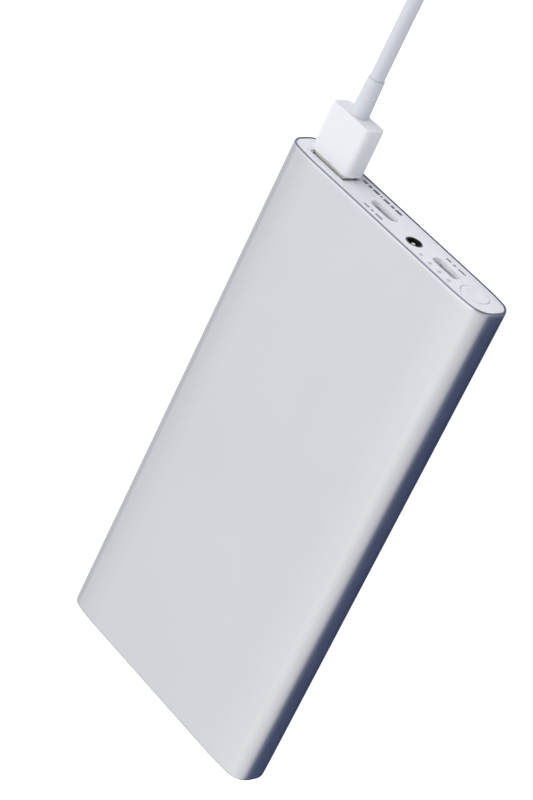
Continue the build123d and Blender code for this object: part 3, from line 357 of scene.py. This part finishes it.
# ---------------------------------------------------------------- cable
CABLE_RADIUS = 1.925
COIL_CENTRE = (-1.5, -178.0)
LOWER_Z, UPPER_Z = 2.375, 6.225
OUTER_LANE = 28.5
PITCH = 3.9
TURNS = 3
TURN_STEPS = 24
RISE_STEPS = 8               # over which the cable climbs from the lower to the upper layer
STRAP_START, STRAP_ARC = 128.0, 13.0    # degrees, where the strap crosses the coil
STRAP_GAP = 0.05
STRAP_THICKNESS = 0.4
STRAP_SECTIONS = 8
STRAP_CORNER_STEPS = 8
RUN_ROUTE = [
    (25.0, -97.7, 6.7),
    (25.0, -109.0, 6.7),
    (25.9, -121.5, 5.5),
    (26.8, -134.5, 3.2),
    (27.5, -149.0, 1.95),
    (27.7, -163.5, 2.05),
    (27.0, -178.0, 2.375),
]
TAIL_ROUTE = [
    (27.0, -178.0, 6.225),
    (27.2, -189.5, 6.3),
    (23.6, -200.8, 5.4),
    (15.8, -209.4, 4.1),
    (5.6, -213.8, 3.2),
    (-4.6, -214.6, 3.2),
]


def coil_points():
    """Two layers of turns: inwards on the floor, up at the inside, and outwards on top."""
    points = []
    last_step = TURNS * TURN_STEPS
    for layer, base in enumerate((LOWER_Z, UPPER_Z)):
        for step in range(last_step):
            turned = step / TURN_STEPS
            lane = OUTER_LANE - PITCH * (turned if layer == 0 else TURNS - turned)
            angle = math.tau * turned
            rise = 0.0
            if layer == 0 and step > last_step - RISE_STEPS:
                rise = (UPPER_Z - LOWER_Z) * (step - (last_step - RISE_STEPS)) / RISE_STEPS
            points.append((COIL_CENTRE[0] + lane * math.cos(angle), COIL_CENTRE[1] - lane * math.sin(angle),
                           base + rise))
    return points


def make_cable():
    curve = bpy.data.curves.new("charging_cable", "CURVE")
    curve.dimensions = "3D"
    curve.bevel_depth = CABLE_RADIUS * MM
    curve.bevel_resolution = 8
    curve.resolution_u = 10
    spline = curve.splines.new("NURBS")
    points = RUN_ROUTE[:-1] + coil_points() + TAIL_ROUTE
    spline.points.add(len(points) - 1)
    for target, (x, y, z) in zip(spline.points, points):
        target.co = (x * MM, y * MM, z * MM, 1.0)
    spline.order_u = 3
    spline.use_endpoint_u = True
    curve.materials.append(M["jacket"])
    cable = bpy.data.objects.new("charging_cable", curve)
    scene.collection.objects.link(cable)
    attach(cable, "cable")
    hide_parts("cable_run", "cable_coil", "cable_tail")
    return cable


def strap_outline(heading, spread):
    """Hull of the six strands where the strap crosses them, spread outwards, as (radius, height)."""
    turned = (-heading / math.tau) % 1.0
    low_out = OUTER_LANE - PITCH * turned
    low_in = low_out - 2 * PITCH
    high_out = OUTER_LANE - PITCH * (1.0 - turned)
    high_in = high_out - 2 * PITCH
    slope = math.atan2(low_out - high_out, UPPER_Z - LOWER_Z)
    reach = CABLE_RADIUS + spread
    corners = (
        (low_out, LOWER_Z, -math.pi / 2, slope),
        (high_out, UPPER_Z, slope, math.pi / 2),
        (high_in, UPPER_Z, math.pi / 2, math.pi + slope),
        (low_in, LOWER_Z, math.pi + slope, 1.5 * math.pi),
    )
    outline = []
    for radius, height, start, end in corners:
        for step in range(STRAP_CORNER_STEPS + 1):
            turn = start + (end - start) * step / STRAP_CORNER_STEPS
            outline.append((radius + reach * math.cos(turn), height + reach * math.sin(turn)))
    return outline


def make_strap():
    """Strap drawn tight round the wound turns, a closed band with an inner and an outer skin."""
    vertices = []
    for section in range(STRAP_SECTIONS + 1):
        heading = math.radians(STRAP_START + STRAP_ARC * section / STRAP_SECTIONS)
        for spread in (STRAP_GAP, STRAP_GAP + STRAP_THICKNESS):
            for radius, height in strap_outline(heading, spread):
                vertices.append(((COIL_CENTRE[0] + radius * math.cos(heading)) * MM,
                                 (COIL_CENTRE[1] + radius * math.sin(heading)) * MM, height * MM))
    around = 4 * (STRAP_CORNER_STEPS + 1)
    faces = []
    for k in range(around):
        following = (k + 1) % around
        for section in range(STRAP_SECTIONS):
            inner = 2 * around * section
            outer = inner + around
            ahead = 2 * around
            faces.append((inner + k, inner + following, inner + ahead + following, inner + ahead + k))
            faces.append((outer + k, outer + ahead + k, outer + ahead + following, outer + following))
        last = 2 * around * STRAP_SECTIONS
        faces.append((k, around + k, around + following, following))
        faces.append((last + k, last + following, last + around + following, last + around + k))
    mesh = bpy.data.meshes.new("coil_strap")
    mesh.from_pydata(vertices, [], faces)
    mesh.validate()
    strap = bpy.data.objects.new("coil_strap", mesh)
    scene.collection.objects.link(strap)
    mesh.materials.append(M["strap"])
    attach(strap, "cable")
    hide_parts("cable_tie")
    return strap


cable = make_cable()
strap = make_strap()


# ---------------------------------------------------------------- printed marks on the ports face
INK_LIFT = 0.006
INK_THICKNESS = 0.005
BAR_ROUNDING = 0.55          # corner radius as a share of half the bar's height
BAR_CORNER_STEPS = 4


def make_marks():
    """Short rounded bars in grey ink, in place of any wording."""
    face_y = (END_Y + CAP_RECESS - INK_LIFT) * MM
    ink = surface("grey_ink", (0.10, 0.10, 0.115), vary=0.1, patch=0.5, rough=(0.5, 0.6), grain=0.1,
                  depth=0.001)
    pale = surface("pale_ink", (0.30, 0.305, 0.33), vary=0.08, patch=0.5, rough=(0.5, 0.6), grain=0.1,
                   depth=0.001)
    rows = [
        ("marks_long", ink, -4.15, 0.9, [(3.2, 5.6), (6.1, 7.4), (8.0, 10.2), (10.9, 11.4), (12.0, 14.3),
                                         (14.9, 16.1), (16.7, 18.3)]),
        ("marks_short", pale, 4.05, 0.75, [(1.8, 4.4), (5.2, 6.2), (7.0, 8.9)]),
        ("marks_outer", pale, -3.6, 0.75, [(-21.8, -19.1), (-18.2, -17.2), (-16.4, -14.6)]),
    ]
    for name, ink_nodes, height, tall, bars in rows:
        mesh = bmesh.new()
        for start, end in bars:
            radius = tall / 2 * BAR_ROUNDING
            right, left = end - radius, start + radius
            top, bottom = tall / 2 - radius, radius - tall / 2
            loop = []
            corners = ((right, top, 0), (left, top, 90), (left, bottom, 180), (right, bottom, 270))
            for cx, cz, first in corners:
                for step in range(BAR_CORNER_STEPS + 1):
                    angle = math.radians(first + 90 / BAR_CORNER_STEPS * step)
                    loop.append(mesh.verts.new(((cx + radius * math.cos(angle)) * MM, face_y,
                                                (MIDDLE_Z + height + cz + radius * math.sin(angle)) * MM)))
            mesh.faces.new(loop)
        data = bpy.data.meshes.new(name)
        mesh.to_mesh(data)
        mesh.free()
        data.materials.append(ink_nodes.material)
        piece = bpy.data.objects.new(name, data)
        scene.collection.objects.link(piece)
        solidify = piece.modifiers.new("thickness", "SOLIDIFY")
        solidify.thickness = INK_THICKNESS * MM
        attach(piece, "bank")


make_marks()


# ---------------------------------------------------------------- floor, world and lights
FLOOR_HALF = 6.0             # in metres, as are the next three
FLOOR_DROP = 0.0001
NAVY_STRIP_X = (-0.20, 0.05)       # the stops of the strip lie between these
NAVY_STRIP_Y = (-0.078, -0.070)    # the strip fades in here, towards +Y
CAMERA_GLOW = 0.85           # emission that only the camera sees


def make_floor():
    """Floor that is plain and pale to the camera only.

    Every other ray meets a blue-grey strip painted on the floor beside the bank. It paints a navy reflection
    on the bank's side, which the sleeve's own material doesn't have.
    """
    mesh = bpy.data.meshes.new("floor")
    half, below = FLOOR_HALF, -FLOOR_DROP
    corners = [(-half, -half, below), (half, -half, below), (half, half, below), (-half, half, below)]
    mesh.from_pydata(corners, [], [(0, 1, 2, 3)])
    floor = bpy.data.objects.new("floor", mesh)
    scene.collection.objects.link(floor)
    n = Nodes("floor")
    place = n.add("ShaderNodeSeparateXYZ")
    n.link(n.coordinates, place.inputs["Vector"])
    across = n.ranged(place.outputs["X"], 0.0, 1.0, *NAVY_STRIP_X)
    # blue-grey that only reflection rays see: it paints a navy reflection on the bank's side
    pale, reflected_navy = (0.78, 0.79, 0.82), (0.052, 0.076, 0.165)
    strip = n.ramp(across, [(0.36, pale), (0.54, reflected_navy), (0.65, reflected_navy), (0.72, pale)])
    beyond = n.ranged(place.outputs["Y"], 0.0, 1.0, *NAVY_STRIP_Y)
    ended = n.add("ShaderNodeMix", data_type="RGBA")
    n.link(beyond, ended.inputs["Factor"])
    ended.inputs["A"].default_value = (*pale, 1)
    n.link(strip, ended.inputs["B"])
    path = n.add("ShaderNodeLightPath")
    mix = n.add("ShaderNodeMix", data_type="RGBA")
    n.link(path.outputs["Is Camera Ray"], mix.inputs["Factor"])
    n.link(ended.outputs["Result"], mix.inputs["A"])
    mix.inputs["B"].default_value = (0.95, 0.95, 0.95, 1)
    n.link(mix.outputs["Result"], n.shader.inputs["Base Color"])
    glow = n.ranged(path.outputs["Is Camera Ray"], 0.0, CAMERA_GLOW, 0.0, 1.0)
    n.link(glow, n.shader.inputs["Emission Strength"])
    n.shader.inputs["Emission Color"].default_value = (1, 1, 1, 1)
    n.shader.inputs["Roughness"].default_value = 1.0
    n.shader.inputs["Specular IOR Level"].default_value = 0.0
    mesh.materials.append(n.material)


def make_world():
    """Soft white surroundings, dimmer towards the horizon, on the right and low at the front left."""
    world = bpy.data.worlds.new("studio")
    world.use_nodes = True
    tree = world.node_tree
    tree.nodes.clear()
    link = tree.links.new

    def ramp(value, start, end, stops):
        node = tree.nodes.new("ShaderNodeValToRGB")
        while len(node.color_ramp.elements) < len(stops):
            node.color_ramp.elements.new(0.5)
        for element, (at, colour) in zip(node.color_ramp.elements, stops):
            element.position = (at - start) / (end - start)
            element.color = (*colour, 1.0)
        scaled = tree.nodes.new("ShaderNodeMapRange")
        scaled.inputs["From Min"].default_value = start
        scaled.inputs["From Max"].default_value = end
        link(value, scaled.inputs["Value"])
        link(scaled.outputs["Result"], node.inputs["Fac"])
        return node.outputs["Color"]

    output = tree.nodes.new("ShaderNodeOutputWorld")
    background = tree.nodes.new("ShaderNodeBackground")
    link(background.outputs["Background"], output.inputs["Surface"])
    direction = tree.nodes.new("ShaderNodeTexCoord").outputs["Generated"]

    def towards(axis, stops):
        dot = tree.nodes.new("ShaderNodeVectorMath")
        dot.operation = "DOT_PRODUCT"
        dot.inputs[1].default_value = Vector(axis).normalized()
        link(direction, dot.inputs[0])
        return ramp(dot.outputs["Value"], -1.0, 1.0, stops)

    def times(one, other):
        product = tree.nodes.new("ShaderNodeMix")
        product.data_type = "RGBA"
        product.blend_type = "MULTIPLY"
        product.inputs["Factor"].default_value = 1.0
        link(one, product.inputs["A"])
        link(other, product.inputs["B"])
        return product.outputs["Result"]

    right = towards((0.85, 0.35, 0.10), [
        (0.0, (1.04, 1.04, 1.055)), (0.74, (0.935, 0.94, 0.965)), (0.93, (0.68, 0.69, 0.73)),
        (1.0, (0.52, 0.53, 0.57))])
    front_left = towards((-0.80, -0.55, 0.20), [(0.25, (1.0, 1.0, 1.0)), (0.90, (0.36, 0.37, 0.40))])
    height = tree.nodes.new("ShaderNodeSeparateXYZ")
    link(direction, height.inputs["Vector"])
    horizon = ramp(height.outputs["Z"], -0.1, 0.4, [(-0.05, (0.50, 0.45, 0.42)), (0.12, (1.0, 1.0, 1.0))])
    sky = times(times(right, front_left), horizon)
    path = tree.nodes.new("ShaderNodeLightPath")
    mix = tree.nodes.new("ShaderNodeMix")
    mix.data_type = "RGBA"
    link(path.outputs["Is Camera Ray"], mix.inputs["Factor"])
    link(sky, mix.inputs["A"])
    mix.inputs["B"].default_value = (1.0, 1.0, 1.0, 1)
    link(mix.outputs["Result"], background.inputs["Color"])
    background.inputs["Strength"].default_value = 1.0
    scene.world = world


def area_light(name, place, target, size, power):
    data = bpy.data.lights.new(name, "AREA")
    data.shape = "DISK"
    data.size = size
    data.energy = power
    light = bpy.data.objects.new(name, data)
    light.location = place
    light.rotation_mode = "QUATERNION"
    light.rotation_quaternion = (Vector(target) - Vector(place)).to_track_quat("-Z", "Y")
    scene.collection.objects.link(light)


make_floor()
make_world()
area_light("key", place=(0.25, -0.5, 1.1), target=(0, -0.03, 0), size=1.6, power=3.0)
area_light("fill", place=(0.15, -1.27, 0.78), target=(0, -0.06, 0), size=2.4, power=4.2)
scene.view_settings.view_transform = "Standard"
